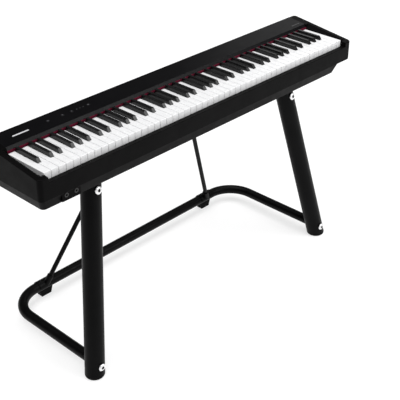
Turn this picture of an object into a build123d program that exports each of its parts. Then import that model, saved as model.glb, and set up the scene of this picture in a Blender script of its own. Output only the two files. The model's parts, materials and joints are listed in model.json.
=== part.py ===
from build123d import *
import math
import os

# A slim 88-key digital piano bolted to a tubular stand.  Millimetres, +Z up, floor at Z = 0.
# While it is being built, X = 0 is the middle of the keyboard and Y = 0 is the front edge of the
# white keys, with +Y towards the back.  Every node is moved to the origin of the part, the middle
# of the footprint on the floor, when it is written.

# ---- keyboard ----
BED_WIDTH = 1225.0            # 52 white keys side by side
WHITE_COUNT = 52
PITCH = BED_WIDTH / WHITE_COUNT
OCTAVE = 7 * PITCH
SLOT = OCTAVE / 12            # spacing of the key tails at the pivot rod
LOW_C = -BED_WIDTH / 2 - 5 * PITCH   # left edge of the C below the lowest key, an A
KEY_GAP = 1.0
WHITE_TOP = 694.0
WHITE_END = 152.0             # the white top surface runs on under the felt
KEY_UNDER = WHITE_TOP - 14.0  # underside of every key body
APRON_DROP = 24.0             # height of the white key's front face
APRON_DEPTH = 4.0
BLACK_FRONT = 50.0
BLACK_BACK = 141.0
BLACK_RISE = 11.5             # a black key stands this far above the white ones
BLACK_HALF_BASE = 5.5
BLACK_HALF_TOP = 4.7
BLACK_RAKE = 8.0              # the sloping front of a black key
NOTCH_GAP = 1.0
TAIL_HALF = 4.0
TAIL_TOP = WHITE_TOP - 1.0
TAIL_END = 209.0
PIVOT_Y = 200.0
PIVOT_Z = WHITE_TOP - 8.0
ROD_RADIUS = 2.0
RUNNING_FIT = 0.05
KEY_ANGLE = 2.8               # degrees, about 9.8 mm of travel at the front edge
BLACK_OFFSETS = {1: -2.5, 3: 2.5, 6: -3.5, 8: 0.0, 10: 3.5}  # from the joint of two whites
WHITE_ORDER = {0: 0, 2: 1, 4: 2, 5: 3, 7: 4, 9: 5, 11: 6}
NOTE_NAMES = ["c", "c_sharp", "d", "d_sharp", "e", "f", "f_sharp", "g", "g_sharp", "a", "a_sharp", "b"]
LOWEST_NOTE = 9               # A in octave 0
HIGHEST_NOTE = 96             # C in octave 8
SINGLE_OCTAVE = 4             # the keys of this octave are separate, the others move in groups

# ---- case ----
CASE_HALF = 643.0
CASE_FRONT = -20.0
CASE_BACK = 219.0
CHEEK_INNER = 613.3
CHEEK_BEVEL = 14.5            # the end blocks slope down this far towards the keys
TOP_SLOPE = 0.124             # rise per millimetre towards the back
TOP_AT_KEYS = 691.8           # height of the sloping top at Y = 0
WALL = 3.0
SEAM_Z = 627.5                # underside of the tray's flange
TRAY_FLOOR = 596.0
FLANGE_INSET = 0.5            # the tray's flange stands this far inside the case
TRAY_RIM = {"left": -642.0, "right": 586.0, "front": CASE_FRONT + 1.0}   # outline below the flange
TRAY_BASE = {"left": -631.0, "right": 572.0, "front": -8.0}              # outline of the floor
TRAY_BACK = CASE_BACK - 1.0
FRAME_TOP = SEAM_Z + WALL     # the upper mouldings stand on the flange
SLIP_TOP = 675.3
SLIP_BACK = -3.0
PANEL_FRONT = 151.0
LIP_FRONT = 146.0
LIP_BOTTOM = 701.5
FELT_FRONT = 143.0
FELT_BOTTOM = WHITE_TOP + 0.6
CORNER_RADIUS = 13.0

# ---- key frame inside the case ----
CHASSIS_Z = 640.0
CHASSIS_HALF = 608.0
CHASSIS_FRONT = 4.0
SHEET = 2.0
FELT_THICK = 3.0
STOP_CLEARANCE = 0.35
WHITE_STOP_Y = 20.0
BLACK_STOP_Y = 60.0
STOP_WIDTH = 12.0
CONTACT_Y = 95.0
CONTACT_WIDTH = 30.0
CONTACT_TOP = WHITE_TOP - 28.4
BOARD = 1.6
RIB_FRONT = 194.0
RIB_BACK = 206.0
RIB_TOP = TAIL_TOP - 1.0
REST_BACK = 210.5
SPRING_FOOT = 5.0             # depth of the rail that carries the springs
SPRING_Z = WHITE_TOP - 0.2
SPRING_SHEET = 0.5
BLADE_HALF = 2.5
BOSS_X = [-500.0, -290.0, 0.0, 290.0, 500.0]
BOSS_Y = [12.0, 180.0]
SPEAKER_X = 200.0
SPEAKER_Y = 96.0
SPEAKER_RADIUS = 45.0
GRILLE_STEP = 8.0

# ---- sockets and buttons ----
JACK_RADIUS = 3.25            # takes a 6.35 mm plug
JACK_DEPTH = 30.0
JACK_COLLAR = 5.3
JACK_RING = 6.5
JACK_HALF = 8.0
HEADPHONE_X = [-562.0, -530.0]
HEADPHONE_Z = 618.0
HEADPHONE_FACE = -18.0        # the flat place on the tray's sloping front that takes the jacks
HEADPHONE_SEAT = 12.0         # thickness of the tray there
REAR_SOCKETS = {"inlet": -220.0, "computer": -190.0, "pedal": -118.0, "line_left": -60.0, "line_right": -30.0}
REAR_SOCKET_Z = 616.0
REAR_SOCKET_BORE = 6.2
BUTTON_X = {"power_button": -449.0, "minus_button": -399.0, "plus_button": -367.0, "function_button": -308.0}
BUTTON_Y = 186.0
BUTTON_RADIUS = 5.0
BUTTON_GAP = 0.35
BUTTON_PROUD = 0.9
PANEL_BOARD_DROP = 7.0        # the button board hangs this far below the panel's top

# ---- stand ----
LEG_RADIUS = 29.5
LEG_INNER = 27.5
LEG_FOOT = (520.0, -23.3)     # where the leg's axis meets the floor
LEG_TOP = (404.7, 76.2)       # where the leg's axis meets the case
LEG_LEAN = (LEG_TOP[1] - LEG_FOOT[1]) / TRAY_FLOOR   # the leg's lean to the back, per millimetre of height
CAP_HEIGHT = 12.0
CAP_ROUND = 8.0
CAP_PLUG = 32.0
FIT = 0.2                     # radial gap of a plug inside a tube
TUBE_RADIUS = 16.0
TUBE_INNER = 14.0
TUBE_Z = 42.0
TUBE_X = 511.0
TUBE_BACK = 386.0
TUBE_BEND = 100.0
PLATE = 3.0
BRACKET_HALF = (46.0, 40.0)
SPIGOT_INNER = 20.0
SPIGOT_LENGTH = 80.0
BOLT_SHANK = 4.0
BOLT_HEAD = 11.5
BOLT_HEAD_HEIGHT = 4.0
BOLT_SOCKET = 4.6             # half the width over the flats of the hex socket
LOW_BOLT_Z = 39.0
LOW_BOLT_END = -40.0          # the lower bolt goes through the leg into the base tube's insert
TOP_BOLT_Z = 542.0
TOP_BOLT_END = 15.0           # the upper bolt ends inside the bracket's hollow spigot
WASHER_STAND_OFF = 2.2
FOOT_X = 374.0
FOOT_TOP_HALF = 30.0
FOOT_BOTTOM_HALF = 18.0
FOOT_FRONT = 5.0              # the foot's face in front of the tube's middle
FOOT_REAR = 19.0              # and behind it
FOOT_TOP = TUBE_Z - 4.0
STRAP = 2.5
FOOT_SCREW = 2.2
FOOT_SCREW_PITCH = 36.0
BRACE_RADIUS = 7.4
BRACE_LOW = (371.5, 374.5, 54.0)
BRACE_HIGH = (118.0, 232.0, TRAY_FLOOR)
BRACE_CUP = 34.0              # length of the cup at either end of a brace
BRACE_CUP_SUNK = 8.0          # how far a cup runs on past the end of the brace's axis
BRACE_SHORT = 10.0            # the rod stops this far short of the end of its axis
BRACE_PLATE_HALF = 34.0
BRACE_PLATE_Y = (192.0, 244.0)
BRACE_SCREW_Y = 204.0
BRACE_SCREW_X = 26.0
BRACKET_SCREW = (36.0, 30.0)
SCREW_CORE = 2.0              # radius of every pilot hole for a screw into plastic


def block(x0, x1, y0, y1, z0, z1):
    """A box given by its lowest and highest corners."""
    centre = Pos((x0 + x1) / 2, (y0 + y1) / 2, (z0 + z1) / 2)
    return centre * Box(x1 - x0, y1 - y0, z1 - z0)


def rod(start, end, radius):
    """A round bar from one point to another."""
    run = Vector(*end) - Vector(*start)
    plane = Plane(origin=start, z_dir=run.normalized())
    return Solid.make_cylinder(radius, run.length, plane)


def bar_along_x(points, x0, x1):
    """A closed outline of (Y, Z) points, extruded along X."""
    plane = Plane(origin=(x0, 0, 0), x_dir=(0, 1, 0), z_dir=(1, 0, 0))
    return extrude(plane * make_face(Polyline(*points, close=True)), amount=x1 - x0)


def turned(points, plane):
    """A closed outline of (radius, height) points, turned about the plane's Z axis."""
    outline = make_face(Plane.XZ * Polyline(*points, close=True))
    return plane.location * revolve(outline, Axis.Z)


def case_top(y):
    """Height of the sloping top of the case."""
    return TOP_AT_KEYS + TOP_SLOPE * y


def panel_plane(x, y):
    """A plane on the panel's top, with its Z axis pointing out of it."""
    return Plane(origin=(x, y, case_top(y)), x_dir=(1, 0, 0), z_dir=(0, -TOP_SLOPE, 1))


# ---- keys ----

def octave_start(note):
    return LOW_C + (note // 12) * OCTAVE


def tail_x(note):
    """Middle of a key's tail, on an even spacing along the pivot rod."""
    return octave_start(note) + (note % 12 + 0.5) * SLOT


def is_black(note):
    return note % 12 in BLACK_OFFSETS


def black_x(note):
    """Middle of a black key."""
    whites_below = sum(1 for step in WHITE_ORDER if step < note % 12)
    return octave_start(note) + whites_below * PITCH + BLACK_OFFSETS[note % 12]


def tail(note, front):
    """The narrow back end of a key, bored for the pivot rod."""
    x = tail_x(note)
    bar = block(x - TAIL_HALF, x + TAIL_HALF, front, TAIL_END, KEY_UNDER, TAIL_TOP)
    bore = rod((x - PITCH, PIVOT_Y, PIVOT_Z), (x + PITCH, PIVOT_Y, PIVOT_Z), ROD_RADIUS + RUNNING_FIT)
    return bar - bore


def white_key(note):
    """A white key, notched beside each black neighbour."""
    left = octave_start(note) + WHITE_ORDER[note % 12] * PITCH + KEY_GAP / 2
    right = left + PITCH - KEY_GAP
    notch = BLACK_HALF_BASE + NOTCH_GAP
    body = block(left, right, 0, WHITE_END, KEY_UNDER, WHITE_TOP)
    body += block(left, right, 0, APRON_DEPTH, WHITE_TOP - APRON_DROP, WHITE_TOP)
    front_corners = body.edges().filter_by(Axis.Z).group_by(Axis.Y)[0]
    body = fillet(front_corners, radius=1.5)
    front_top = body.faces().sort_by(Axis.Z)[-1].edges().group_by(Axis.Y)[0]
    body = fillet(front_top, radius=1.2)
    for neighbour in (note - 1, note + 1):
        if is_black(neighbour) and LOWEST_NOTE <= neighbour <= HIGHEST_NOTE:
            x = black_x(neighbour)
            body -= block(x - notch, x + notch, BLACK_FRONT - NOTCH_GAP, WHITE_END + 1,
                          KEY_UNDER - 1, WHITE_TOP + 1)
    return (body + tail(note, WHITE_END - SHEET)).solid()


def black_key(note):
    """A black key: a raked, tapered cap over a straight body."""
    x = black_x(note)
    depth = BLACK_BACK - BLACK_FRONT
    middle = (BLACK_FRONT + BLACK_BACK) / 2
    base = Pos(x, middle, WHITE_TOP) * Rectangle(2 * BLACK_HALF_BASE, depth)
    top = Pos(x, middle + BLACK_RAKE / 2, WHITE_TOP + BLACK_RISE) * Rectangle(
        2 * BLACK_HALF_TOP, depth - BLACK_RAKE)
    cap = loft([base, top])
    cap = fillet(cap.faces().sort_by(Axis.Z)[-1].edges().sort_by(Axis.Y)[:3], radius=1.2)
    body = block(x - BLACK_HALF_BASE, x + BLACK_HALF_BASE, BLACK_FRONT, BLACK_BACK, KEY_UNDER, WHITE_TOP)
    return (cap + body + tail(note, BLACK_BACK - SHEET)).solid()


def keys(first, last, black):
    """The black or the white keys from one note up to, but not including, another."""
    make = black_key if black else white_key
    return [make(note) for note in range(first, last) if is_black(note) == black]


def key_nodes():
    """One node for each key of the middle octave, and a group for each side of it."""
    low = 12 * SINGLE_OCTAVE
    high = low + 12
    nodes = {}
    for step, name in enumerate(NOTE_NAMES):
        note = low + step
        nodes["key_" + name] = black_key(note) if is_black(note) else white_key(note)
    nodes["white_keys_bass"] = keys(LOWEST_NOTE, low, False)
    nodes["black_keys_bass"] = keys(LOWEST_NOTE, low, True)
    nodes["white_keys_treble"] = keys(high, HIGHEST_NOTE + 1, False)
    nodes["black_keys_treble"] = keys(high, HIGHEST_NOTE + 1, True)
    return nodes


# ---- key frame and what is on it ----

def stop_height(y):
    """How low a pressed key's underside comes at Y, less the clearance to the felt."""
    angle = math.radians(KEY_ANGLE)
    drop = (PIVOT_Z - KEY_UNDER) * math.cos(angle) + (PIVOT_Y - y) * math.sin(angle)
    return PIVOT_Z - drop - STOP_CLEARANCE


def frame_rail(y0, y1, z0, z1):
    """A bar of the key frame, as long as the frame."""
    return block(-CHASSIS_HALF, CHASSIS_HALF, y0, y1, z0, z1)


def hat_rail(y0, y1, top):
    """A folded rail standing on the frame's base sheet."""
    rail = frame_rail(y0, y1, top - SHEET, top)
    for y in (y0, y1 - SHEET):
        rail += frame_rail(y, y + SHEET, CHASSIS_Z, top)
    return rail


def rib_places():
    """X of every rib: one between each two tails, and one outside each end tail."""
    places = []
    for note in range(LOWEST_NOTE, HIGHEST_NOTE + 1):
        places.append(tail_x(note) - SLOT / 2)
    places.append(tail_x(HIGHEST_NOTE) + SLOT / 2)
    return places


def key_frame():
    """The moulded frame that carries the keys: a base, rails, and a comb of ribs for the rod."""
    frame_back = REST_BACK + SPRING_FOOT
    rest_top = KEY_UNDER - STOP_CLEARANCE - SHEET
    frame = frame_rail(CHASSIS_FRONT, frame_back, CHASSIS_Z, CHASSIS_Z + SHEET)
    frame += hat_rail(WHITE_STOP_Y, WHITE_STOP_Y + STOP_WIDTH, stop_height(WHITE_STOP_Y) - FELT_THICK)
    frame += hat_rail(BLACK_STOP_Y, BLACK_STOP_Y + STOP_WIDTH, stop_height(BLACK_STOP_Y) - FELT_THICK)
    frame += hat_rail(CONTACT_Y, CONTACT_Y + CONTACT_WIDTH, CONTACT_TOP - BOARD)
    frame += frame_rail(RIB_BACK, REST_BACK, CHASSIS_Z, rest_top)
    frame += frame_rail(REST_BACK, frame_back, CHASSIS_Z, SPRING_Z)
    ribs = [block(x - SHEET / 2, x + SHEET / 2, RIB_FRONT, RIB_BACK, CHASSIS_Z, RIB_TOP)
            for x in rib_places()]
    frame = frame.fuse(*ribs)
    bore = rod((-CASE_HALF, PIVOT_Y, PIVOT_Z), (CASE_HALF, PIVOT_Y, PIVOT_Z), ROD_RADIUS + RUNNING_FIT)
    return frame - bore


def pivot_rod():
    return rod((-CHASSIS_HALF, PIVOT_Y, PIVOT_Z), (CHASSIS_HALF, PIVOT_Y, PIVOT_Z), ROD_RADIUS)


def stop_felts():
    """Felt strips that stop the white keys, the black keys and the tails."""
    strips = []
    for y in (WHITE_STOP_Y, BLACK_STOP_Y):
        top = stop_height(y)
        strips.append(frame_rail(y, y + STOP_WIDTH, top - FELT_THICK, top))
    rest_top = KEY_UNDER - STOP_CLEARANCE
    strips.append(frame_rail(RIB_BACK + FIT, REST_BACK - FIT, rest_top - SHEET, rest_top))
    return strips


def return_springs():
    """A comb of leaf springs, one blade above each tail, behind the rod."""
    comb = frame_rail(REST_BACK, REST_BACK + SPRING_FOOT, SPRING_Z, SPRING_Z + SPRING_SHEET)
    blade_tip = PIVOT_Y + 3
    blades = [block(tail_x(note) - BLADE_HALF, tail_x(note) + BLADE_HALF, blade_tip, REST_BACK,
                    SPRING_Z, SPRING_Z + SPRING_SHEET)
              for note in range(LOWEST_NOTE, HIGHEST_NOTE + 1)]
    return comb.fuse(*blades)


def contact_board():
    return frame_rail(CONTACT_Y, CONTACT_Y + CONTACT_WIDTH, CONTACT_TOP - BOARD, CONTACT_TOP)


def contact_domes():
    """A rubber strip with one dome under each key, as high as a pressed key leaves room for."""
    middle = CONTACT_Y + CONTACT_WIDTH / 2
    strip = frame_rail(middle - 8, middle + 8, CONTACT_TOP, CONTACT_TOP + 1.5)
    top = stop_height(middle - 4)
    domes = []
    for note in range(LOWEST_NOTE, HIGHEST_NOTE + 1):
        plane = Plane(origin=(tail_x(note), middle, CONTACT_TOP + 1))
        domes.append(Solid.make_cone(4.5, 3.0, top - CONTACT_TOP - 1, plane))
    return strip.fuse(*domes)


# ---- case ----

def tray_section(edges, z, inset):
    """The tray's outline at one height, drawn in by a wall thickness."""
    width = edges["right"] - edges["left"] - 2 * inset
    depth = TRAY_BACK - edges["front"] - 2 * inset
    middle = Pos((edges["left"] + edges["right"]) / 2, (edges["front"] + TRAY_BACK) / 2, z)
    return middle * RectangleRounded(width, depth, CORNER_RADIUS - inset)


def tray_block(inset):
    """The sunken part of the tray as a solid: its front and both its ends slope in."""
    return loft([tray_section(TRAY_BASE, TRAY_FLOOR + inset, inset), tray_section(TRAY_RIM, SEAM_Z, inset)])


def boss_places():
    """X, Y of the screws that hold the key frame down."""
    return [(x, y) for x in BOSS_X for y in BOSS_Y]


def speaker_grille(side):
    """Slots in the tray's floor below one loudspeaker."""
    slots = []
    for row in range(-4, 5):
        half = math.sqrt((SPEAKER_RADIUS - GRILLE_STEP) ** 2 - (row * GRILLE_STEP) ** 2)
        x = side * SPEAKER_X
        y = SPEAKER_Y + row * GRILLE_STEP
        slots.append(block(x - half, x + half, y - 1.5, y + 1.5, TRAY_FLOOR - 1, TRAY_FLOOR + WALL + 1))
    return slots


def screw_boss(x, y, height, radius, drilled):
    """A round boss on the tray's floor and the blind hole up into it."""
    boss = rod((x, y, TRAY_FLOOR + WALL / 2), (x, y, TRAY_FLOOR + height), radius)
    hole = rod((x, y, TRAY_FLOOR - 1), (x, y, TRAY_FLOOR + drilled), SCREW_CORE)
    return boss, hole


def headphone_seat():
    """The flat place on the tray's sloping front, with a bore for each headphone jack."""
    seat = block(HEADPHONE_X[0] - 14, HEADPHONE_X[1] + 14, HEADPHONE_FACE, HEADPHONE_FACE + HEADPHONE_SEAT,
                 TRAY_FLOOR + 6, SEAM_Z + WALL / 2)
    bores = [rod((x, HEADPHONE_FACE - 10, HEADPHONE_Z), (x, 0, HEADPHONE_Z), JACK_COLLAR + FIT)
             for x in HEADPHONE_X]
    return seat, bores


def bottom_case():
    """The tray: a flange, a sunken floor, screw bosses, two grilles and the bores for the sockets."""
    pan = tray_block(0)
    pan = fillet(pan.faces().sort_by(Axis.Z)[0].edges(), radius=WALL)
    half = CASE_HALF - FLANGE_INSET
    flange = block(-half, half, CASE_FRONT + FLANGE_INSET, CASE_BACK - FLANGE_INSET, SEAM_Z, FRAME_TOP)
    flange = fillet(flange.edges().filter_by(Axis.Z), radius=CORNER_RADIUS - FLANGE_INSET)
    mouth = extrude(tray_section(TRAY_RIM, SEAM_Z, WALL), amount=2 * WALL)
    tray = pan + flange - (tray_block(WALL) + mouth)
    for x, y in boss_places():
        boss, hole = screw_boss(x, y, CHASSIS_Z - TRAY_FLOOR, 6, CHASSIS_Z - TRAY_FLOOR - 2)
        tray = tray + boss - hole
        tray -= rod((x, y, TRAY_FLOOR - 1), (x, y, TRAY_FLOOR + 2), 4.5)
    for x, y in bracket_screw_places():
        boss, hole = screw_boss(x, y, 16, 5, 13)
        tray = tray + boss - hole
    for side in (-1, 1):
        tray -= speaker_grille(side)
    seat, bores = headphone_seat()
    tray = tray + seat - bores
    for x in REAR_SOCKETS.values():
        inside = (x, TRAY_BACK - 2 * WALL, REAR_SOCKET_Z)
        tray -= rod(inside, (x, TRAY_BACK + 1, REAR_SOCKET_Z), REAR_SOCKET_BORE)
    return tray


def key_slip():
    """The rail in front of the keys, a channel open below and at the back."""
    rail = bar_along_x([(CASE_FRONT, FRAME_TOP), (CASE_FRONT, SLIP_TOP), (SLIP_BACK, SLIP_TOP),
                        (SLIP_BACK, FRAME_TOP)], -CHEEK_INNER, CHEEK_INNER)
    top_edges = rail.faces().sort_by(Axis.Z)[-1].edges().filter_by(Axis.X)
    rail = fillet(top_edges, radius=1.5)
    rail -= block(-CHEEK_INNER + WALL, CHEEK_INNER - WALL, CASE_FRONT + WALL, SLIP_BACK - WALL,
                  FRAME_TOP - 1, SLIP_TOP - WALL)
    return rail - block(-CASE_HALF, CASE_HALF, SLIP_BACK - WALL - 1, SLIP_BACK + 1,
                        FRAME_TOP - 1, SLIP_TOP - 12)


def cheek_bevel(side):
    """The wedge that slopes an end block's inner top edge down towards the keys."""
    top = case_top(SLIP_BACK)
    plane = Plane(origin=(0, SLIP_BACK, 0), x_dir=(1, 0, 0), z_dir=(0, -1, 0))
    near = CHEEK_INNER - 1
    far = CHEEK_INNER + CHEEK_BEVEL + 1
    wedge = Polyline((side * near, top + 1), (side * far, top + 1), (side * near, top - CHEEK_BEVEL - 1),
                     close=True)
    length = (LIP_FRONT - SLIP_BACK) * math.hypot(1, TOP_SLOPE)
    return extrude(plane * make_face(wedge), amount=length, dir=(0, 1, TOP_SLOPE))


def cheek(side):
    """An end block beside the keys: a hollow moulding, open below, with rounded corners."""
    def outline(inset, below_top):
        front = CASE_FRONT + inset
        back = CASE_BACK - inset
        return [(front, FRAME_TOP), (front, case_top(front) - below_top),
                (back, case_top(back) - below_top), (back, FRAME_TOP)]
    x0, x1 = sorted((side * CHEEK_INNER, side * CASE_HALF))
    outer = bar_along_x(outline(0, 0), x0, x1)
    uprights = outer.edges().filter_by(Axis.Z).group_by(Axis.X)[-1 if side > 0 else 0]
    outer = fillet(uprights, radius=CORNER_RADIUS)
    top = outer.faces().sort_by(Axis.Z)[-1]
    rim = [edge for edge in top.edges() if abs(edge.center().X) > CHEEK_INNER + 1]
    outer = fillet(rim, radius=3)
    wall = CORNER_RADIUS / 2
    inner = bar_along_x(outline(wall, CHEEK_BEVEL + WALL), x0 + wall, x1 - wall)
    return outer - inner - cheek_bevel(side)


def control_panel():
    """The sloping top behind the keys, with a lip that hangs down over the felt."""
    inner_front = PANEL_FRONT + WALL
    profile = [(PANEL_FRONT, case_top(PANEL_FRONT)), (CASE_BACK, case_top(CASE_BACK)),
               (CASE_BACK, case_top(CASE_BACK) - WALL), (inner_front, case_top(inner_front) - WALL),
               (LIP_FRONT + WALL, LIP_BOTTOM), (LIP_FRONT, LIP_BOTTOM)]
    panel = bar_along_x(profile, -CHEEK_INNER, CHEEK_INNER)
    long_edges = panel.edges().filter_by(Axis.X).sort_by(Axis.Z)[-1]
    panel = fillet(long_edges, radius=2)
    for x in BUTTON_X.values():
        below = panel_plane(x, BUTTON_Y).offset(-2 * WALL)
        panel -= Solid.make_cylinder(BUTTON_RADIUS + BUTTON_GAP, 4 * WALL, below)
    return panel


def rear_panel():
    """The upright back wall, between the tray and the top."""
    underside = case_top(CASE_BACK - WALL) - WALL
    return block(-CHEEK_INNER, CHEEK_INNER, CASE_BACK - WALL, CASE_BACK, FRAME_TOP, underside)


def key_felt():
    """The dark red strip that closes the gap above the backs of the keys."""
    return block(-CHEEK_INNER, CHEEK_INNER, FELT_FRONT, LIP_FRONT + WALL, FELT_BOTTOM, LIP_BOTTOM)


def loudspeaker(side):
    """A small full-range driver, facing down through the grille."""
    z = TRAY_FLOOR + WALL
    r = SPEAKER_RADIUS
    profile = [(4, 9), (r - 11, 2), (r - 9, 0), (r, 0), (r, 2.5), (r - 6, 4), (22, 14), (22, 26),
               (0, 26), (0, 9)]
    return turned(profile, Plane(origin=(side * SPEAKER_X, SPEAKER_Y, z)))


def main_board():
    """The circuit board on the tray's floor, with its larger chips."""
    under = TRAY_FLOOR + 12
    board = block(-145, 145, 100, 170, under, under + BOARD)
    for x in (-90, -30, 40, 100):
        board += block(x, x + 22, 120, 142, under + BOARD, under + 4)
    for x in (-135, 135):
        for y in (106, 164):
            board += rod((x, y, TRAY_FLOOR + WALL), (x, y, under + BOARD / 2), 3.5)
    return board


def panel_board():
    """The button board, hung parallel to the panel."""
    middle = (BUTTON_X["power_button"] + BUTTON_X["function_button"]) / 2
    plane = panel_plane(middle, BUTTON_Y).offset(-PANEL_BOARD_DROP)
    return plane.location * Box(190, 34, BOARD)


def jack(x, outlet_y, z, inwards, seat):
    """A panel jack: a square body, a threaded collar through the seat and a plug bore."""
    back = outlet_y + inwards * JACK_DEPTH
    behind = outlet_y + inwards * seat
    lip = outlet_y - inwards
    y0, y1 = sorted((behind, back + 2 * inwards))
    body = block(x - JACK_HALF, x + JACK_HALF, y0, y1, z - JACK_HALF, z + JACK_HALF)
    body += rod((x, lip, z), (x, behind + inwards, z), JACK_COLLAR)
    body += rod((x, lip, z), (x, outlet_y, z), JACK_RING)
    return body - rod((x, lip - inwards, z), (x, back, z), JACK_RADIUS)


def headphone_jacks():
    return [jack(x, HEADPHONE_FACE, HEADPHONE_Z, 1, HEADPHONE_SEAT) for x in HEADPHONE_X]


def power_inlet(x):
    """A barrel inlet for the mains adaptor, with its centre pin."""
    y = TRAY_BACK
    z = REAR_SOCKET_Z
    body = block(x - 7, x + 7, y - 17, y - WALL, z - 7, z + 7) + rod((x, y - 4, z), (x, y, z), 6)
    body -= rod((x, y - 12, z), (x, y + 1, z), 3.2)
    return body + rod((x, y - 12.5, z), (x, y - 2, z), 1)


def computer_socket(x):
    """A square data socket with its tongue."""
    y = TRAY_BACK
    z = REAR_SOCKET_Z
    body = block(x - 7, x + 7, y - 18, y - WALL, z - 7, z + 7) + rod((x, y - 4, z), (x, y, z), 6)
    body -= block(x - 4, x + 4, y - 12, y + 1, z - 3.9, z + 3.9)
    return body + block(x - 2.6, x + 2.6, y - 13, y - 2, z - 1.3, z + 1.3)


def rear_sockets():
    sockets = [power_inlet(REAR_SOCKETS["inlet"]), computer_socket(REAR_SOCKETS["computer"])]
    for name in ("pedal", "line_left", "line_right"):
        sockets.append(jack(REAR_SOCKETS[name], TRAY_BACK, REAR_SOCKET_Z, -1, WALL))
    return sockets


def case_screws():
    """Countersunk from below, one for each boss."""
    screws = []
    for x, y in boss_places():
        head = rod((x, y, TRAY_FLOOR + 0.2), (x, y, TRAY_FLOOR + 2), 4.2)
        shank = rod((x, y, TRAY_FLOOR + 1), (x, y, TRAY_FLOOR + 28), 1.9)
        socket = extrude(Plane(origin=(x, y, TRAY_FLOOR - 1)) * RegularPolygon(1.6, 6), amount=2.2)
        screws.append(head + shank - socket)
    return screws


def push_button(x):
    """A round button with a flange below the panel; it slides square to the panel."""
    plane = panel_plane(x, BUTTON_Y)
    flange_top = -WALL - 0.4
    flange_radius = BUTTON_RADIUS + 1.5
    profile = [(0, BUTTON_PROUD), (BUTTON_RADIUS - 0.8, BUTTON_PROUD), (BUTTON_RADIUS, BUTTON_PROUD - 0.5),
               (BUTTON_RADIUS, flange_top), (flange_radius, flange_top), (flange_radius, flange_top - 1),
               (0, flange_top - 1)]
    return turned(profile, plane)


# ---- stand ----

def leg_point(side, z):
    """Centre of the leg at a height above the floor."""
    part = z / TRAY_FLOOR
    x = LEG_FOOT[0] + (LEG_TOP[0] - LEG_FOOT[0]) * part
    y = LEG_FOOT[1] + (LEG_TOP[1] - LEG_FOOT[1]) * part
    return (side * x, y, z)


def leg_rod(side, radius, z0, z1):
    """A length of the leg's axis as a solid, cut level at both ends."""
    bar = rod(leg_point(side, z0 - 40), leg_point(side, z1 + 40), radius)
    return bar & block(-CASE_HALF, CASE_HALF, -200, 300, z0, z1)


def leg_bolt_seats(side):
    """For each of a leg's bolts, a plane on the leg's axis facing the player, and where the bolt ends."""
    low = Plane(origin=leg_point(side, LOW_BOLT_Z), x_dir=(1, 0, 0), z_dir=(0, -1, 0))
    top = Plane(origin=leg_point(side, TOP_BOLT_Z), x_dir=(1, 0, 0), z_dir=(0, -1, LEG_LEAN))
    return [(low, LOW_BOLT_END), (top, TOP_BOLT_END)]


def seat_height():
    """How far in front of the leg's axis the flat under a bolt's head stands."""
    return LEG_RADIUS * math.hypot(1, LEG_LEAN) + WASHER_STAND_OFF


def bolt_hole(plane, end, radius):
    """The bore for a large bolt, from well in front of the leg to just past the bolt's end."""
    mouth = 2 * LEG_RADIUS
    return Solid.make_cylinder(radius, mouth - end + 1, plane.offset(end - 1))


def leg(side):
    """A round tube, bored for the two bolts."""
    z0, z1 = CAP_HEIGHT, TRAY_FLOOR - PLATE
    tube = leg_rod(side, LEG_RADIUS, z0, z1) - leg_rod(side, LEG_INNER, z0 - 1, z1 + 1)
    for plane, end in leg_bolt_seats(side):
        tube -= bolt_hole(plane, end, BOLT_SHANK + FIT)
    return tube


def leg_cap(side):
    """The foot of a leg: a level plastic cap with a hollow plug that fills the tube's end."""
    cap = leg_rod(side, LEG_RADIUS, 0, CAP_HEIGHT)
    cap = fillet(cap.edges().group_by(Axis.Z)[0], radius=CAP_ROUND)
    plug = leg_rod(side, LEG_INNER - FIT, CAP_HEIGHT - 1, CAP_PLUG)
    hollow = leg_rod(side, LEG_INNER - 4, CAP_HEIGHT, CAP_PLUG + 1)
    return cap + plug - hollow


def bracket_centre(side):
    return (side * LEG_TOP[0], LEG_TOP[1])


def leg_bracket(side):
    """The plate under the case, with a hollow spigot that fills the top of the leg."""
    x, y = bracket_centre(side)
    dx, dy = BRACKET_HALF
    under = TRAY_FLOOR - PLATE
    plate = block(x - dx, x + dx, y - dy, y + dy, under, TRAY_FLOOR)
    plate = fillet(plate.edges().filter_by(Axis.Z), radius=8)
    spigot = leg_rod(side, LEG_INNER - FIT, under - SPIGOT_LENGTH, under)
    spigot -= leg_rod(side, SPIGOT_INNER, under - SPIGOT_LENGTH - 1, under)
    bracket = plate + spigot - bolt_hole(*leg_bolt_seats(side)[1], BOLT_SHANK + RUNNING_FIT)
    for sx, sy in bracket_screw_places():
        bracket -= rod((sx, sy, under - 1), (sx, sy, TRAY_FLOOR + 1), SCREW_CORE + FIT)
    return bracket


def base_tube():
    """The U-shaped floor tube, coped to fit against the backs of both legs."""
    start = leg_point(1, TUBE_Z)[1]
    corners = [(-TUBE_X, start, TUBE_Z), (-TUBE_X, TUBE_BACK, TUBE_Z), (TUBE_X, TUBE_BACK, TUBE_Z),
               (TUBE_X, start, TUBE_Z)]
    path = FilletPolyline(*corners, radius=TUBE_BEND)
    ring = Plane(origin=path @ 0, z_dir=path % 0) * (Circle(TUBE_RADIUS) - Circle(TUBE_INNER))
    tube = sweep(ring, path=path)
    for side in (-1, 1):
        tube -= leg_rod(side, LEG_RADIUS + RUNNING_FIT, 0, 2 * TUBE_Z)
    for x in foot_screw_places():
        tube -= rod((x, TUBE_BACK, 0), (x, TUBE_BACK, 2 * TUBE_Z), FOOT_SCREW + FIT)
    return tube


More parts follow.
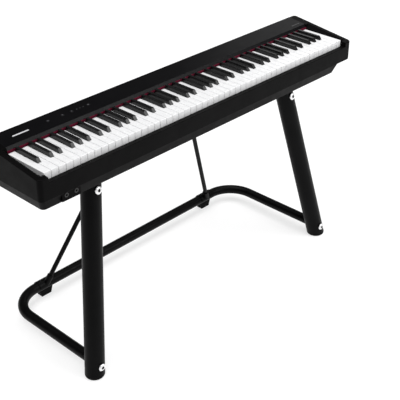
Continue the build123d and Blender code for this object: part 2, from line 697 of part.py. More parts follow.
def tube_inserts():
    """Threaded plugs in the ends of the base tube, which the lower bolts screw into."""
    plugs = []
    for side in (-1, 1):
        x = side * TUBE_X
        y = leg_point(side, TUBE_Z)[1]
        plug = rod((x, y, TUBE_Z), (x, y + 62, TUBE_Z), TUBE_INNER - RUNNING_FIT)
        plug -= leg_rod(side, LEG_RADIUS + RUNNING_FIT, 0, 2 * TUBE_Z)
        plugs.append(plug - bolt_hole(*leg_bolt_seats(side)[0], BOLT_SHANK + RUNNING_FIT))
    return plugs


def leg_bolt(plane, end):
    """A large furniture bolt with a low domed head and a hex socket."""
    seat = plane.offset(seat_height())
    rim = BOLT_SOCKET + 2
    head = turned([(0, 0), (BOLT_HEAD, 0), (BOLT_HEAD, 1.2), (BOLT_HEAD - 1.5, 2.6), (rim, BOLT_HEAD_HEIGHT),
                   (0, BOLT_HEAD_HEIGHT)], seat)
    hexagon = RegularPolygon(BOLT_SOCKET, 6, major_radius=False)
    socket = extrude(seat.offset(1) * hexagon, amount=BOLT_HEAD_HEIGHT)
    shank = Solid.make_cylinder(BOLT_SHANK, seat_height() - end + 1, plane.offset(end))
    return (head + shank - socket).solid()


def leg_bolts():
    return [leg_bolt(plane, end) for side in (-1, 1) for plane, end in leg_bolt_seats(side)]


def saddle_washers():
    """Curved seats between the round legs and the flat bolt heads."""
    thickness = 6.0
    washers = []
    for side in (-1, 1):
        for plane, end in leg_bolt_seats(side):
            washer = Solid.make_cylinder(BOLT_HEAD, thickness, plane.offset(seat_height() - thickness))
            washer -= leg_rod(side, LEG_RADIUS + RUNNING_FIT, 0, TRAY_FLOOR)
            washer -= bolt_hole(plane, end, BOLT_SHANK + FIT)
            washers.append(washer.solids().sort_by(Axis.Y)[0])
    return washers


def foot_screw_places():
    """X of the four screws that hold the rear feet to the base tube."""
    half = FOOT_SCREW_PITCH / 2
    return [side * FOOT_X + step for side in (-1, 1) for step in (-half, half)]


def rear_foot(side):
    """A tapered block below the base tube, hollowed to cradle it."""
    x = side * FOOT_X
    y = TUBE_BACK
    plane = Plane(origin=(x, y + FOOT_REAR, 0), x_dir=(1, 0, 0), z_dir=(0, -1, 0))
    outline = Polyline((-FOOT_TOP_HALF, FOOT_TOP), (-FOOT_BOTTOM_HALF, 0), (FOOT_BOTTOM_HALF, 0),
                       (FOOT_TOP_HALF, FOOT_TOP), close=True)
    foot = extrude(plane * make_face(outline), amount=FOOT_REAR + FOOT_FRONT)
    foot = fillet(foot.faces().sort_by(Axis.Z)[0].edges(), radius=2)
    foot -= rod((x - 60, y, TUBE_Z), (x + 60, y, TUBE_Z), TUBE_RADIUS + RUNNING_FIT)
    for place in foot_screw_places():
        foot -= rod((place, y, 10), (place, y, TUBE_Z), FOOT_SCREW + RUNNING_FIT)
    return foot


def brace_ends(side):
    """The two ends of a brace's axis."""
    low = (side * BRACE_LOW[0], BRACE_LOW[1], BRACE_LOW[2])
    high = (side * BRACE_HIGH[0], BRACE_HIGH[1], BRACE_HIGH[2])
    return Vector(*low), Vector(*high)


def brace_cup(end, inwards):
    """A short round cup on a brace's axis, and the blind bore in it that takes the rod's end."""
    root = end - inwards * BRACE_CUP_SUNK
    cup = rod(root, root + inwards * BRACE_CUP, BRACE_RADIUS + WALL)
    seat = end + inwards * (BRACE_SHORT - RUNNING_FIT)
    bore = rod(seat, end + inwards * BRACE_CUP, BRACE_RADIUS + RUNNING_FIT)
    return cup, bore


def rear_clamp(side):
    """A half-round strap over the base tube that carries the cup of the brace."""
    x = side * FOOT_X
    y = TUBE_BACK
    half = FOOT_TOP_HALF
    tube = rod((x - half - 1, y, TUBE_Z), (x + half + 1, y, TUBE_Z), TUBE_RADIUS + RUNNING_FIT)
    strap = rod((x - half, y, TUBE_Z), (x + half, y, TUBE_Z), TUBE_RADIUS + STRAP)
    strap &= block(x - half, x + half, y - 30, y + 30, TUBE_Z, TUBE_Z + 30)
    low, high = brace_ends(side)
    cup, bore = brace_cup(low, (high - low).normalized())
    clamp = strap + cup - bore - tube
    clamp &= block(x - 60, x + 60, y - 30, y + 30, TUBE_Z, TUBE_Z + 60)
    for place in foot_screw_places():
        clamp -= rod((place, y, TUBE_Z), (place, y, TUBE_Z + 30), FOOT_SCREW + FIT)
    return clamp.solids().sort_by(SortBy.VOLUME)[-1]


def foot_screws():
    """Round-headed screws down through the straps and the tube into the feet."""
    screws = []
    top = TUBE_Z + TUBE_RADIUS + STRAP
    for x in foot_screw_places():
        plane = Plane(origin=(x, TUBE_BACK, top))
        head = turned([(0, 0), (4.5, 0), (4.5, 1), (3.5, 2.8), (1.7, 3.5), (0, 3.5)], plane)
        shank = rod((x, TUBE_BACK, 14), (x, TUBE_BACK, top + 1), FOOT_SCREW)
        screws.append((head + shank).solid())
    return screws


def brace(side):
    """A thin rod from the rear clamp up to the plate below the case."""
    low, high = brace_ends(side)
    short = (high - low).normalized() * BRACE_SHORT
    return rod(low + short, high - short, BRACE_RADIUS)


def brace_plate(side):
    """The plate under the back of the case, reaching out behind it, that holds the top of a brace."""
    low, high = brace_ends(side)
    x = high.X
    under = TRAY_FLOOR - PLATE
    plate = block(x - BRACE_PLATE_HALF, x + BRACE_PLATE_HALF, *BRACE_PLATE_Y, under, TRAY_FLOOR)
    plate = fillet(plate.edges().filter_by(Axis.Z), radius=6)
    cup, bore = brace_cup(high, (low - high).normalized())
    holder = plate + cup - bore
    holder &= block(x - 2 * BRACE_PLATE_HALF, x + 2 * BRACE_PLATE_HALF, 0, TUBE_BACK,
                    TUBE_Z, TRAY_FLOOR)
    for sx, sy in bracket_screw_places():
        holder -= rod((sx, sy, under - 1), (sx, sy, TRAY_FLOOR + 1), SCREW_CORE + FIT)
    return holder


def bracket_screw_places():
    """X, Y of the screws that hold the stand's four plates to the case."""
    sx, sy = BRACKET_SCREW
    places = []
    for side in (-1, 1):
        x, y = bracket_centre(side)
        places += [(x + dx, y + dy) for dx in (-sx, sx) for dy in (-sy, sy)]
        places += [(side * BRACE_HIGH[0] + dx, BRACE_SCREW_Y) for dx in (-BRACE_SCREW_X, BRACE_SCREW_X)]
    return places


def bracket_screws():
    """Pan-headed screws up into the case."""
    screws = []
    under = TRAY_FLOOR - PLATE
    for x, y in bracket_screw_places():
        plane = Plane(origin=(x, y, under), x_dir=(1, 0, 0), z_dir=(0, 0, -1))
        head = turned([(0, 0), (4.5, 0), (4.5, 1), (3, 2.6), (0, 2.6)], plane)
        shank = rod((x, y, under - 1), (x, y, TRAY_FLOOR + 12), SCREW_CORE - 0.1)
        screws.append((head + shank).solid())
    return screws


def stand_nodes():
    nodes = {}
    for side, hand in ((-1, "left"), (1, "right")):
        nodes[hand + "_leg"] = leg(side)
        nodes[hand + "_leg_cap"] = leg_cap(side)
        nodes[hand + "_leg_bracket"] = leg_bracket(side)
        nodes[hand + "_rear_foot"] = rear_foot(side)
        nodes[hand + "_rear_clamp"] = rear_clamp(side)
        nodes[hand + "_brace"] = brace(side)
        nodes[hand + "_brace_plate"] = brace_plate(side)
    nodes["base_tube"] = base_tube()
    nodes["tube_inserts"] = tube_inserts()
    nodes["leg_bolts"] = leg_bolts()
    nodes["saddle_washers"] = saddle_washers()
    nodes["foot_screws"] = foot_screws()
    nodes["bracket_screws"] = bracket_screws()
    return nodes


def case_nodes():
    nodes = {"bottom_case": bottom_case(), "key_slip": key_slip(), "control_panel": control_panel(),
             "rear_panel": rear_panel(), "left_cheek": cheek(-1), "right_cheek": cheek(1),
             "key_felt": key_felt(), "speakers": [loudspeaker(-1), loudspeaker(1)],
             "main_board": main_board(), "panel_board": panel_board(),
             "headphone_jacks": headphone_jacks(), "rear_sockets": rear_sockets(),
             "case_screws": case_screws()}
    for name, x in BUTTON_X.items():
        nodes[name] = push_button(x)
    return nodes


def frame_nodes():
    return {"key_frame": key_frame(), "pivot_rod": pivot_rod(), "stop_felts": stop_felts(),
            "return_springs": return_springs(), "contact_board": contact_board(),
            "contact_domes": contact_domes()}


def solids_of(node):
    """Every solid of a node, whether it was made as one shape or as a list."""
    shapes = node if isinstance(node, list) else [node]
    return [solid for shape in shapes for solid in shape.solids()]


def write(nodes):
    """Move every node to the part's origin and write one STEP file for each."""
    everything = Compound([solid for node in nodes.values() for solid in solids_of(node)])
    box = everything.bounding_box()
    to_origin = Pos(0, -(box.min.Y + box.max.Y) / 2, 0)
    print("keyboard front edge is at Y =", round(-(box.min.Y + box.max.Y) / 2, 3))
    os.makedirs("parts", exist_ok=True)
    for name, node in nodes.items():
        solids = [to_origin * solid for solid in solids_of(node)]
        shape = solids[0] if len(solids) == 1 else Compound(solids)
        export_step(shape, "parts/" + name + ".step")


write({**case_nodes(), **frame_nodes(), **key_nodes(), **stand_nodes()})
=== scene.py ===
import json
import math

import bmesh
import bpy
from mathutils import Matrix, Vector
from mathutils import noise as mathutils_noise


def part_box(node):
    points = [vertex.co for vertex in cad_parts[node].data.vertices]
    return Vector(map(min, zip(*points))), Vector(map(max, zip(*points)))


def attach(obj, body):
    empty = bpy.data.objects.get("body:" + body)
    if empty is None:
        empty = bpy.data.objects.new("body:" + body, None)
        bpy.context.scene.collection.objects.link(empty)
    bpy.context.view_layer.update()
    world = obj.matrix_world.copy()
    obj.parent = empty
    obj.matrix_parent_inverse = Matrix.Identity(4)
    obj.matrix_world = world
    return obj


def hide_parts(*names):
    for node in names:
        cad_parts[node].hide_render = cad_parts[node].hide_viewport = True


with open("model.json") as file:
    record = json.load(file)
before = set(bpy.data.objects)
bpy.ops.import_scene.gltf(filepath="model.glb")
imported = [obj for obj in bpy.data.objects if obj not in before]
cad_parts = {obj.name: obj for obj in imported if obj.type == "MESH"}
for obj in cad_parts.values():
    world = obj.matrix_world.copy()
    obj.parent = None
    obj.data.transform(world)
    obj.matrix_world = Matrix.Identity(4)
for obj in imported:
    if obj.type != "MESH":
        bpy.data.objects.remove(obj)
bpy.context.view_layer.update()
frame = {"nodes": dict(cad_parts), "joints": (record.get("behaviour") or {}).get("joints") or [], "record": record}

# Everything is in metres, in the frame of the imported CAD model: +X to the player's right,
# +Y away from the player, +Z up, the floor at Z = 0.

KEY_FRONT_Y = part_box("key_c")[0].y
CAMERA_PLACE = Vector((-1.7813, KEY_FRONT_Y - 1.6357, 1.8011))
CAMERA_AZIMUTH = math.radians(-46.52)
CAMERA_ELEVATION = math.radians(30.95)
CAMERA_LENS = 83.27         # millimetres of focal length, for the sensor width below
SENSOR_WIDTH = 36.0
VIEW_DEPTH = 60.0           # the farthest thing the camera draws

FLOOR_RADIUS = 25.0
FLOOR_DROP = 0.0005         # the floor lies this far below the feet, so that the faces don't coincide

TINT_SPAN = (0.35, 0.65)    # the part of a noise's range over which a colour drifts
GLOSS_SPAN = (0.3, 0.7)     # and over which a roughness drifts

MARK_THICKNESS = 0.00025    # a printed mark on the panel or on a button
MARK_SINK = 0.00005         # how deep it starts below the face
FULL_TURN = 2 * math.pi
RIGHT = Vector((1, 0, 0))

BUTTONS = ["power_button", "minus_button", "plus_button", "function_button"]


# ---- materials ----

def new_material(name, base, roughness, metallic=0.0, specular=0.5):
    """A material whose constants sit on the shader's own sockets."""
    material = bpy.data.materials.new(name)
    material.use_nodes = True
    shader = material.node_tree.nodes["Principled BSDF"]
    shader.inputs["Base Color"].default_value = (*base, 1)
    shader.inputs["Roughness"].default_value = roughness
    shader.inputs["Metallic"].default_value = metallic
    shader.inputs["Specular IOR Level"].default_value = specular
    return material, material.node_tree, shader


def noise(tree, scale, detail=3.0, stretch=(1, 1, 1)):
    """Noise in the object's own coordinates, so that it moves with the piece."""
    place = tree.nodes.new("ShaderNodeTexCoord")
    mapping = tree.nodes.new("ShaderNodeMapping")
    mapping.inputs["Scale"].default_value = stretch
    texture = tree.nodes.new("ShaderNodeTexNoise")
    texture.inputs["Scale"].default_value = scale
    texture.inputs["Detail"].default_value = detail
    tree.links.new(place.outputs["Object"], mapping.inputs["Vector"])
    tree.links.new(mapping.outputs["Vector"], texture.inputs["Vector"])
    return texture.outputs["Fac"]


def tint(tree, shader, factor, dark, light):
    """Colour that drifts between two near shades."""
    ramp = tree.nodes.new("ShaderNodeValToRGB")
    for element, position, shade in zip(ramp.color_ramp.elements, TINT_SPAN, (dark, light)):
        element.position = position
        element.color = (*shade, 1)
    tree.links.new(factor, ramp.inputs["Fac"])
    tree.links.new(ramp.outputs["Color"], shader.inputs["Base Color"])


def gloss(tree, shader, factor, smooth, rough):
    """Roughness that drifts between two values."""
    spread = tree.nodes.new("ShaderNodeMapRange")
    spread.inputs["From Min"].default_value = GLOSS_SPAN[0]
    spread.inputs["From Max"].default_value = GLOSS_SPAN[1]
    spread.inputs["To Min"].default_value = smooth
    spread.inputs["To Max"].default_value = rough
    tree.links.new(factor, spread.inputs["Value"])
    tree.links.new(spread.outputs["Result"], shader.inputs["Roughness"])


def bump(tree, shader, height, strength, distance):
    """Surface relief."""
    relief = tree.nodes.new("ShaderNodeBump")
    relief.inputs["Strength"].default_value = strength
    relief.inputs["Distance"].default_value = distance
    tree.links.new(height, relief.inputs["Height"])
    tree.links.new(relief.outputs["Normal"], shader.inputs["Normal"])


def moulded_plastic(name, dark, light, smooth, rough, grain, specular):
    """Spark-textured plastic: a fine grain, with slight drifts of shade and gloss."""
    material, tree, shader = new_material(name, light, rough, specular=specular)
    tint(tree, shader, noise(tree, 9.0), dark, light)
    gloss(tree, shader, noise(tree, 35.0), smooth, rough)
    bump(tree, shader, noise(tree, 1400.0, detail=2.0), grain, 0.0002)
    return material


def powder_coat():
    """Black powder coat on steel: a faint orange-peel surface."""
    material, tree, shader = new_material("powder_coat", (0.002, 0.002, 0.0022), 0.4, specular=0.08)
    tint(tree, shader, noise(tree, 14.0), (0.0012, 0.0012, 0.0013), (0.0022, 0.0022, 0.0024))
    gloss(tree, shader, noise(tree, 60.0), 0.33, 0.45)
    bump(tree, shader, noise(tree, 700.0, detail=2.0), 0.25, 0.0002)
    return material


def key_ivory():
    """White key plastic: smooth, with faint marks along the key."""
    material, tree, shader = new_material("key_ivory", (0.8, 0.8, 0.81), 0.28, specular=0.4)
    streaks = noise(tree, 40.0, stretch=(6, 0.6, 1))
    tint(tree, shader, streaks, (0.77, 0.77, 0.78), (0.83, 0.83, 0.835))
    gloss(tree, shader, noise(tree, 55.0), 0.22, 0.36)
    shader.inputs["Coat Weight"].default_value = 0.15
    shader.inputs["Coat Roughness"].default_value = 0.12
    return material


def key_ebony():
    """Black key plastic: satin, with a fine grain along the key."""
    material, tree, shader = new_material("key_ebony", (0.003, 0.003, 0.0033), 0.24, specular=0.32)
    grain = noise(tree, 260.0, stretch=(5, 0.5, 1))
    tint(tree, shader, grain, (0.003, 0.003, 0.0032), (0.006, 0.006, 0.0065))
    gloss(tree, shader, noise(tree, 90.0, stretch=(4, 0.6, 1)), 0.2, 0.3)
    bump(tree, shader, grain, 0.15, 0.0001)
    return material


def nickel_plate():
    """Soft bright plating with faint marks across the face."""
    material, tree, shader = new_material("nickel_plate", (0.9, 0.9, 0.9), 0.5, metallic=1.0)
    tint(tree, shader, noise(tree, 900.0, stretch=(1, 6, 1)), (0.84, 0.84, 0.85), (0.94, 0.94, 0.94))
    gloss(tree, shader, noise(tree, 500.0), 0.42, 0.55)
    return material


def steel(name, dark, light, smooth, rough, scale, stretch=(1, 1, 1)):
    """Bare or blackened steel, with a grain along one axis where it is stretched."""
    material, tree, shader = new_material(name, light, rough, metallic=1.0)
    grain = noise(tree, scale, stretch=stretch)
    tint(tree, shader, grain, dark, light)
    gloss(tree, shader, grain, smooth, rough)
    return material


def felt(name, dark, light):
    """Pressed wool: matted fibres with a soft sheen."""
    material, tree, shader = new_material(name, light, 0.95, specular=0.1)
    fibres = noise(tree, 1800.0, detail=6.0)
    tint(tree, shader, fibres, dark, light)
    bump(tree, shader, fibres, 0.8, 0.0006)
    shader.inputs["Sheen Weight"].default_value = 0.04
    shader.inputs["Sheen Roughness"].default_value = 0.5
    return material


def rubber():
    """Matt black rubber."""
    material, tree, shader = new_material("black_rubber", (0.003, 0.003, 0.003), 0.75, specular=0.08)
    tint(tree, shader, noise(tree, 45.0), (0.002, 0.002, 0.002), (0.0045, 0.0045, 0.0045))
    bump(tree, shader, noise(tree, 900.0, detail=4.0), 0.4, 0.0003)
    return material


def circuit():
    """Green solder mask with the pale tracks of a circuit."""
    material, tree, shader = new_material("circuit_board", (0.01, 0.12, 0.05), 0.4)
    place = tree.nodes.new("ShaderNodeTexCoord")
    tracks = tree.nodes.new("ShaderNodeTexBrick")
    tracks.inputs["Scale"].default_value = 110.0
    tracks.inputs["Mortar Size"].default_value = 0.06
    tracks.inputs["Color1"].default_value = (0.008, 0.10, 0.04, 1)
    tracks.inputs["Color2"].default_value = (0.012, 0.14, 0.06, 1)
    tracks.inputs["Mortar"].default_value = (0.03, 0.24, 0.11, 1)
    tree.links.new(place.outputs["Object"], tracks.inputs["Vector"])
    tree.links.new(tracks.outputs["Color"], shader.inputs["Base Color"])
    return material


def speaker_paper():
    """Pressed paper and enamelled steel."""
    material, tree, shader = new_material("speaker_paper", (0.03, 0.03, 0.03), 0.8, specular=0.3)
    fibres = noise(tree, 600.0, detail=5.0)
    tint(tree, shader, fibres, (0.018, 0.018, 0.018), (0.045, 0.045, 0.045))
    bump(tree, shader, fibres, 0.5, 0.0004)
    return material


def ink(name, dark, light):
    """The ink of the panel's printed marks."""
    material, tree, shader = new_material(name, light, 0.5, specular=0.3)
    tint(tree, shader, noise(tree, 800.0), dark, light)
    return material


def grille_cloth():
    """Black woven cloth behind the loudspeaker slots."""
    material, tree, shader = new_material("grille_cloth", (0.01, 0.01, 0.01), 0.9, specular=0.2)
    weave = noise(tree, 2200.0, detail=1.0)
    tint(tree, shader, weave, (0.004, 0.004, 0.004), (0.02, 0.02, 0.02))
    bump(tree, shader, weave, 0.6, 0.0004)
    return material


def floor_paper():
    """White studio paper that glows a little, so that shadows on it stay faint."""
    material, tree, shader = new_material("floor_paper", (0.4, 0.4, 0.4), 0.9, specular=0.0)
    tint(tree, shader, noise(tree, 3.0), (0.395, 0.395, 0.395), (0.405, 0.405, 0.405))
    shader.inputs["Emission Color"].default_value = (1, 1, 1, 1)
    shader.inputs["Emission Strength"].default_value = 0.66
    return material


def slot_materials():
    """One material for each slot of the record."""
    return {
        "case_black": moulded_plastic("case_plastic", (0.0014, 0.0013, 0.0014), (0.0026, 0.0024, 0.0025),
                                      smooth=0.42, rough=0.52, grain=0.25, specular=0.045),
        "panel_black": moulded_plastic("panel_plastic", (0.0018, 0.0017, 0.0022), (0.0028, 0.0026, 0.0032),
                                       smooth=0.3, rough=0.36, grain=0.12, specular=0.09),
        "key_white": key_ivory(),
        "key_black": key_ebony(),
        "button_grey": moulded_plastic("button_plastic", (0.006, 0.006, 0.007), (0.01, 0.01, 0.011),
                                       smooth=0.3, rough=0.4, grain=0.15, specular=0.15),
        "stand_black": powder_coat(),
        "rubber_black": rubber(),
        "bolt_chrome": nickel_plate(),
        "fastener_black": steel("black_oxide", (0.015, 0.015, 0.016), (0.04, 0.04, 0.042),
                                smooth=0.35, rough=0.5, scale=400.0),
        "steel": steel("drawn_steel", (0.5, 0.5, 0.51), (0.62, 0.62, 0.63),
                       smooth=0.2, rough=0.35, scale=500.0, stretch=(0.05, 4, 4)),
        "frame_plastic": moulded_plastic("frame_plastic", (0.26, 0.26, 0.27), (0.33, 0.33, 0.34),
                                         smooth=0.5, rough=0.62, grain=0.2, specular=0.35),
        "felt_red": felt("red_felt", (0.045, 0.0002, 0.007), (0.10, 0.0005, 0.016)),
        "felt_grey": felt("grey_felt", (0.26, 0.25, 0.23), (0.4, 0.38, 0.35)),
        "circuit_board": circuit(),
        "speaker_cone": speaker_paper(),
        "socket_black": moulded_plastic("socket_plastic", (0.008, 0.008, 0.008), (0.014, 0.014, 0.014),
                                        smooth=0.35, rough=0.5, grain=0.15, specular=0.4),
    }


def dress_frame(materials):
    """Give every CAD node the material of its slot."""
    for part in frame["record"]["subparts"]:
        node = frame["nodes"][part["node"]]
        node.data.materials.clear()
        node.data.materials.append(materials[part["material_slot"]])


# ---- mesh helpers ----

def piece_from(mesh_maker, name, material, body):
    """Turn a bmesh made by a function into a piece that rides on a body."""
    mesh = bpy.data.meshes.new(name)
    work = bmesh.new()
    mesh_maker(work)
    bmesh.ops.recalc_face_normals(work, faces=work.faces)
    work.to_mesh(mesh)
    work.free()
    piece = bpy.data.objects.new(name, mesh)
    bpy.context.scene.collection.objects.link(piece)
    mesh.materials.append(material)
    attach(piece, body)
    return piece


def join_rings(work, rings):
    """Faces between neighbouring rings of points."""
    for one, other in zip(rings, rings[1:]):
        for step in range(len(one)):
            follow = (step + 1) % len(one)
            work.faces.new((one[step], one[follow], other[follow], other[step]))


def close_ends(work, rings):
    """A face across the first ring and one across the last."""
    work.faces.new(rings[0])
    work.faces.new(rings[-1])


def lathe(work, profile, place, turns):
    """Turn a profile of (radius, height) points about the Z axis of a matrix, and close both ends."""
    rings = []
    for radius, height in profile:
        ring = []
        for step in range(turns):
            angle = FULL_TURN * step / turns
            ring.append(work.verts.new(place @ Vector((radius * math.cos(angle),
                                                       radius * math.sin(angle), height))))
        rings.append(ring)
    join_rings(work, rings)
    close_ends(work, rings)


def facing(place, out):
    """A matrix at a place whose Z axis points out and whose X axis runs as near to +X as it can."""
    z = out.normalized()
    x = (RIGHT - z * RIGHT.dot(z)).normalized()
    turn = Matrix((x, z.cross(x), z)).transposed().to_4x4()
    return Matrix.Translation(place) @ turn


# ---- stage ----

def add_camera():
    """The camera, looking along its azimuth and elevation; back points from the scene to it."""
    back = Vector((math.sin(CAMERA_AZIMUTH) * math.cos(CAMERA_ELEVATION),
                   -math.cos(CAMERA_AZIMUTH) * math.cos(CAMERA_ELEVATION),
                   math.sin(CAMERA_ELEVATION)))
    lens = bpy.data.cameras.new("camera")
    lens.lens = CAMERA_LENS
    lens.sensor_width = SENSOR_WIDTH
    lens.clip_end = VIEW_DEPTH
    camera = bpy.data.objects.new("camera", lens)
    camera.location = CAMERA_PLACE
    camera.rotation_euler = back.to_track_quat("Z", "Y").to_euler()
    bpy.context.scene.collection.objects.link(camera)
    bpy.context.scene.camera = camera


def add_floor():
    """A wide round sheet of studio paper."""
    mesh = bpy.data.meshes.new("floor")
    work = bmesh.new()
    bmesh.ops.create_circle(work, cap_ends=True, radius=FLOOR_RADIUS, segments=64)
    work.to_mesh(mesh)
    work.free()
    floor = bpy.data.objects.new("floor", mesh)
    floor.location.z = -FLOOR_DROP
    mesh.materials.append(floor_paper())
    bpy.context.scene.collection.objects.link(floor)


def add_softbox(name, place, target, size, power):
    """A rectangular studio lamp at a place, turned towards a target."""
    light = bpy.data.lights.new(name, "AREA")
    light.shape = "RECTANGLE"
    light.size, light.size_y = size
    light.energy = power
    lamp = bpy.data.objects.new(name, light)
    lamp.location = place
    lamp.rotation_euler = (Vector(place) - Vector(target)).to_track_quat("Z", "Y").to_euler()
    bpy.context.scene.collection.objects.link(lamp)


def add_overhead_light():
    """A very soft light from almost straight above."""
    sky = bpy.data.lights.new("sky_panel", "SUN")
    sky.energy = 3.1
    sky.angle = math.radians(70)
    lamp = bpy.data.objects.new("sky_panel", sky)
    lamp.rotation_euler = (math.radians(8), math.radians(-6), 0)
    bpy.context.scene.collection.objects.link(lamp)


def add_lights():
    add_overhead_light()
    add_softbox("back_right", place=(3.1, 1.2, 2.0), target=(0.4, 0.0, 0.7), size=(1.6, 1.6), power=6.0)
    add_softbox("front_right", place=(1.3, -2.7, 2.2), target=(0.0, 0.0, 0.65), size=(2.6, 1.2), power=55.0)


def add_world():
    """A faint even white all round, and plain colours in the picture."""
    world = bpy.data.worlds.new("studio")
    world.use_nodes = True
    world.node_tree.nodes["Background"].inputs["Color"].default_value = (1, 1, 1, 1)
    world.node_tree.nodes["Background"].inputs["Strength"].default_value = 0.1
    bpy.context.scene.world = world
    bpy.context.scene.view_settings.view_transform = "Standard"


# ---- pieces on the control panel ----

def press_axis(button):
    """The way a button moves when it is pressed, from its joint in the record."""
    for joint in frame["joints"]:
        if joint["child"] == button:
            return Vector(joint["axis"]).normalized()


PANEL_NORMAL = -press_axis(BUTTONS[0])
UPHILL = PANEL_NORMAL.cross(RIGHT).normalized()   # up the panel's slope, away from the player


def face_height(node):
    """How far along the panel's normal a node's outermost point lies."""
    return max(PANEL_NORMAL.dot(vertex.co) for vertex in frame["nodes"][node].data.vertices)


def on_face(x, y, height):
    """The point above (x, y) at a height along the panel's normal."""
    z = (height - PANEL_NORMAL.x * x - PANEL_NORMAL.y * y) / PANEL_NORMAL.z
    return Vector((x, y, z))


def middle(node):
    """The middle of a node's box."""
    low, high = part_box(node)
    return (low + high) / 2


def add_bar(work, centre, length, width, thickness, turn=0.0):
    """A thin round-ended bar lying on the panel's face."""
    along = Matrix.Rotation(turn, 4, PANEL_NORMAL) @ RIGHT
    across = PANEL_NORMAL.cross(along)
    radius = width / 2
    reach = length / 2 - radius
    steps = 8
    outline = []
    for end, start in ((1, -0.5), (-1, 0.5)):
        for step in range(steps + 1):
            angle = math.pi * (start + step / steps)
            outline.append(centre + along * (end * reach + radius * math.cos(angle))
                           + across * radius * math.sin(angle))
    lower = [work.verts.new(point) for point in outline]
    upper = [work.verts.new(point + PANEL_NORMAL * thickness) for point in outline]
    join_rings(work, [lower, upper])
    close_ends(work, [lower, upper])


def add_ring(work, centre, radius, width, thickness, sweep=FULL_TURN, start=0.0):
    """A thin flat ring, or part of one, lying on the panel's face."""
    steps = 32
    closed = sweep == FULL_TURN
    lift = PANEL_NORMAL * thickness
    columns = []
    for step in range(steps if closed else steps + 1):
        angle = start + sweep * step / steps
        out = RIGHT * math.cos(angle) + UPHILL * math.sin(angle)
        inner = centre + out * (radius - width / 2)
        outer = centre + out * (radius + width / 2)
        columns.append([work.verts.new(point) for point in (inner, outer, outer + lift, inner + lift)])
    if closed:
        join_rings(work, columns + columns[:1])
    else:
        join_rings(work, columns)
        close_ends(work, columns)


def add_blank_plates(materials):
    """A blank bar near each end of the panel, in place of any lettering."""
    panel_low, panel_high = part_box("control_panel")
    button_y = middle("power_button").y
    height = face_height("control_panel") - MARK_SINK
    # middle in X and in Y, length, width, material
    plates = {
        "nameplate": (panel_low.x + 0.0716, button_y - 0.0045, 0.053, 0.0048, "print"),
        "end_plate": (panel_high.x - 0.030, button_y - 0.0200, 0.040, 0.0032, "faint_print"),
    }
    for name, (x, y, length, width, material) in plates.items():
        centre = on_face(x, y, height)
        piece_from(lambda work: add_bar(work, centre, length, width, MARK_THICKNESS),
                   name, materials[material], "root")


def add_button_marks(materials):
    """A generic sign on each button: a broken ring, a dash, a cross and a dot in a ring."""
    size = 0.0022
    stroke = 0.0006

    def broken_ring(work, centre):
        add_ring(work, centre, size, stroke, MARK_THICKNESS, math.radians(280), math.radians(130))
        add_bar(work, centre + UPHILL * size, size, stroke, MARK_THICKNESS, math.pi / 2)

    def dash(work, centre):
        add_bar(work, centre, 2 * size, stroke, MARK_THICKNESS)

    def cross(work, centre):
        add_bar(work, centre, 2 * size, stroke, MARK_THICKNESS)
        add_bar(work, centre, 2 * size, stroke, MARK_THICKNESS, math.pi / 2)

    def dotted_ring(work, centre):
        add_ring(work, centre, size, stroke, MARK_THICKNESS)
        add_ring(work, centre, stroke / 2, stroke, MARK_THICKNESS)

    for button, draw in zip(BUTTONS, (broken_ring, dash, cross, dotted_ring)):
        place = middle(button)
        centre = on_face(place.x, place.y, face_height(button) - MARK_SINK)
        piece_from(lambda work: draw(work, centre), button + "_mark", materials["button_print"],
                   button)


def add_indicators(materials):
    """A row of three small lamps between the last two buttons."""
    before = middle("plus_button")
    after = middle("function_button")
    height = face_height("control_panel") - MARK_SINK
    spacing = 0.011
    profile = [(0.0010, 0), (0.0010, 0.0002), (0.0006, 0.0004)]

    def make(work):
        for place in (-1, 0, 1):
            x = (before.x + after.x) / 2 + place * spacing
            centre = on_face(x, before.y, height)
            lathe(work, profile, facing(centre, PANEL_NORMAL), turns=24)
    piece_from(make, "indicator_lamps", materials["button_print"], "root")


# ---- pieces on the bolts ----

def bolt_faces():
    """The middle of each large bolt's outer face, and the way it faces."""
    mesh = frame["nodes"]["leg_bolts"].data
    half_way = middle("leg_bolts").z
    towards_player = -0.9       # a face whose normal's Y is below this faces the player
    same_way = 0.999            # two normals that agree
    same_plane = 0.0002
    faces = []
    for left in (True, False):
        for low in (True, False):
            flats = [face for face in mesh.polygons if (face.center.x < 0) == left
                     and (face.center.z < half_way) == low and face.normal.y < towards_player]
            outer = min(flats, key=lambda face: face.center.y)
            rim = [mesh.vertices[index].co for face in flats for index in face.vertices
                   if face.normal.dot(outer.normal) > same_way
                   and abs((face.center - outer.center).dot(outer.normal)) < same_plane]
            nearest, farthest = [Vector(pick(point[axis] for point in rim) for axis in range(3))
                                 for pick in (min, max)]
            faces.append(((nearest + farthest) / 2, outer.normal.copy()))
    return faces


def add_socket_painted_shade(materials):
    """Painted shade in each large bolt's hex socket: a thin six-sided cup of dark plastic that stands in for the
    shade in the hollow.
    """
    corner = 0.0052
    bottom = -0.0027
    film = 0.0001
    centre = 0.0003
    profile = [(centre, bottom + film), (corner - film, bottom + film), (corner - film, 0),
               (corner, 0), (corner, bottom), (centre, bottom)]

    def make(work):
        for place, out in bolt_faces():
            lathe(work, profile, facing(place, out), turns=6)
    # the dark cups paint the shade inside the bolts' sockets
    piece_from(make, "hex_socket_painted_shade", materials["socket_black"], "root")


# ---- felt and cloth ----

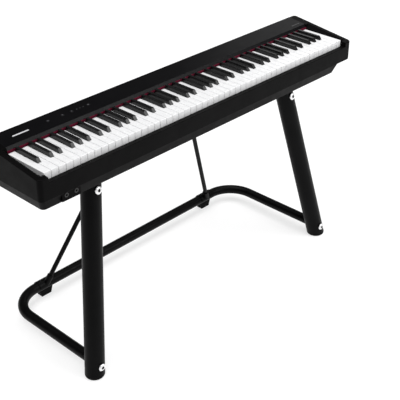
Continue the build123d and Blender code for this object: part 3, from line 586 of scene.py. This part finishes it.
def add_felt_strip(materials):
    """The felt above the backs of the keys: a rounded strip with a slightly uneven front."""
    low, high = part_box("key_felt")
    columns = 490
    unevenness = 0.0002
    fuzz_along = 220
    fuzz_across = 300
    rounding = 0.0014
    cut = 0.3 * rounding        # how far a rounded edge's middle lies inside the square corner
    outline = [(high.y, low.z), (low.y + rounding, low.z), (low.y + cut, low.z + cut),
               (low.y, low.z + rounding), (low.y, high.z - rounding),
               (low.y + cut, high.z - cut), (low.y + rounding, high.z), (high.y, high.z)]

    def make(work):
        rows = []
        for column in range(columns + 1):
            x = low.x + (high.x - low.x) * column / columns
            row = []
            for y, z in outline:
                fuzz = mathutils_noise.noise(Vector((x * fuzz_along, y * fuzz_across, z * fuzz_across)))
                depth = unevenness * (1 + fuzz) if y < high.y else 0.0
                row.append(work.verts.new((x, y + depth, z)))
            rows.append(row)
        join_rings(work, rows)
        close_ends(work, rows)
    strip = piece_from(make, "felt_strip", materials["felt_red"], "root")
    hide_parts("key_felt")


def add_grille_cloths(materials):
    """Woven cloth in the mouth of each loudspeaker, above the tray's slots: a slightly domed disc."""
    low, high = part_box("speakers")
    half = (high.y - low.y) / 2
    margin = 0.011
    radius = half - margin
    lift = 0.0004
    profile = [(radius, 0), (radius, 0.0006), (radius / 2, 0.0012), (0.002, 0.0014)]

    def make(work):
        for x in (low.x + half, high.x - half):
            place = Vector((x, (low.y + high.y) / 2, low.z + lift))
            lathe(work, profile, Matrix.Translation(place), turns=64)
    piece_from(make, "grille_cloths", materials["cloth"], "root")


add_camera()
add_floor()
add_lights()
add_world()
materials = slot_materials()
materials["print"] = ink("white_ink", (0.52, 0.52, 0.54), (0.66, 0.66, 0.68))
materials["faint_print"] = ink("grey_ink", (0.05, 0.05, 0.052), (0.08, 0.08, 0.082))
materials["button_print"] = ink("button_ink", (0.12, 0.12, 0.13), (0.18, 0.18, 0.19))
materials["cloth"] = grille_cloth()
dress_frame(materials)
add_blank_plates(materials)
add_socket_painted_shade(materials)
add_button_marks(materials)
add_indicators(materials)
add_felt_strip(materials)
add_grille_cloths(materials)
